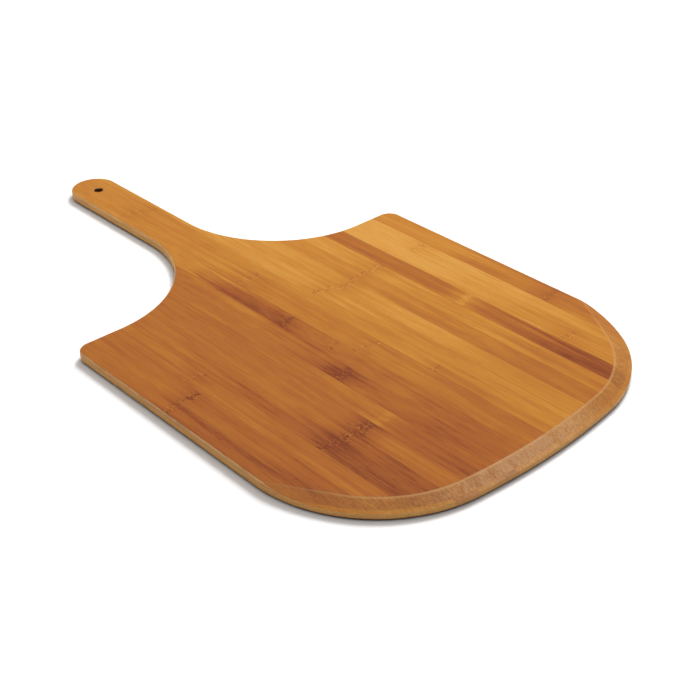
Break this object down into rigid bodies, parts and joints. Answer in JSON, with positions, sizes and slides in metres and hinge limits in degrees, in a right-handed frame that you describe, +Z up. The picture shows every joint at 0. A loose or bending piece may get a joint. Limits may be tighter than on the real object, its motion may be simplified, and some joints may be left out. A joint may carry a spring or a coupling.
{
  "type": "pizza peel",
  "caption": "Flat wooden pizza peel glued up from lengthwise bamboo strips, with a bevelled leading edge, a short round-ended handle and a hanging hole.",
  "frame": {"origin": "centre of the bounding box in plan, on the flat underside", "axes": "+Z up out of the top face, +Y along the handle towards its end, -Y towards the bevelled leading edge, +X to the right when seen from the handle"},
  "size_m": [0.356, 0.607, 0.0095],
  "materials": {
    "bamboo_pale": "satin",
    "bamboo_golden": "satin",
    "bamboo_amber": "satin",
    "bamboo_dark": "satin"
  },
  "bodies": {
    "root": {"top_strip_01": "bamboo_amber", "top_strip_02": "bamboo_golden", "top_strip_03": "bamboo_golden", "top_strip_04": "bamboo_amber", "top_strip_05": "bamboo_dark", "top_strip_06": "bamboo_golden", "top_strip_07": "bamboo_amber", "top_strip_08": "bamboo_dark", "top_strip_09": "bamboo_dark", "top_strip_10": "bamboo_golden", "top_strip_11": "bamboo_golden", "top_strip_12": "bamboo_pale", "top_strip_13": "bamboo_golden", "top_strip_14": "bamboo_amber", "top_strip_15": "bamboo_golden", "top_strip_16": "bamboo_dark", "top_strip_17": "bamboo_pale", "top_strip_18": "bamboo_pale", "top_strip_19": "bamboo_amber", "core_strip_01": "bamboo_amber", "core_strip_02": "bamboo_golden", "core_strip_03": "bamboo_amber", "core_strip_04": "bamboo_pale", "core_strip_05": "bamboo_pale", "core_strip_06": "bamboo_dark", "core_strip_07": "bamboo_pale", "core_strip_08": "bamboo_dark", "core_strip_09": "bamboo_golden", "core_strip_10": "bamboo_pale", "core_strip_11": "bamboo_golden", "core_strip_12": "bamboo_pale", "core_strip_13": "bamboo_golden", "core_strip_14": "bamboo_pale", "core_strip_15": "bamboo_golden", "core_strip_16": "bamboo_golden", "core_strip_17": "bamboo_pale", "core_strip_18": "bamboo_golden", "core_strip_19": "bamboo_golden", "bottom_strip_01": "bamboo_golden", "bottom_strip_02": "bamboo_amber", "bottom_strip_03": "bamboo_golden", "bottom_strip_04": "bamboo_golden", "bottom_strip_05": "bamboo_pale", "bottom_strip_06": "bamboo_amber", "bottom_strip_07": "bamboo_golden", "bottom_strip_08": "bamboo_amber", "bottom_strip_09": "bamboo_golden", "bottom_strip_10": "bamboo_golden", "bottom_strip_11": "bamboo_pale", "bottom_strip_12": "bamboo_golden", "bottom_strip_13": "bamboo_amber", "bottom_strip_14": "bamboo_golden", "bottom_strip_15": "bamboo_pale", "bottom_strip_16": "bamboo_golden", "bottom_strip_17": "bamboo_amber", "bottom_strip_18": "bamboo_golden", "bottom_strip_19": "bamboo_golden"}
  },
  "joints": []
}
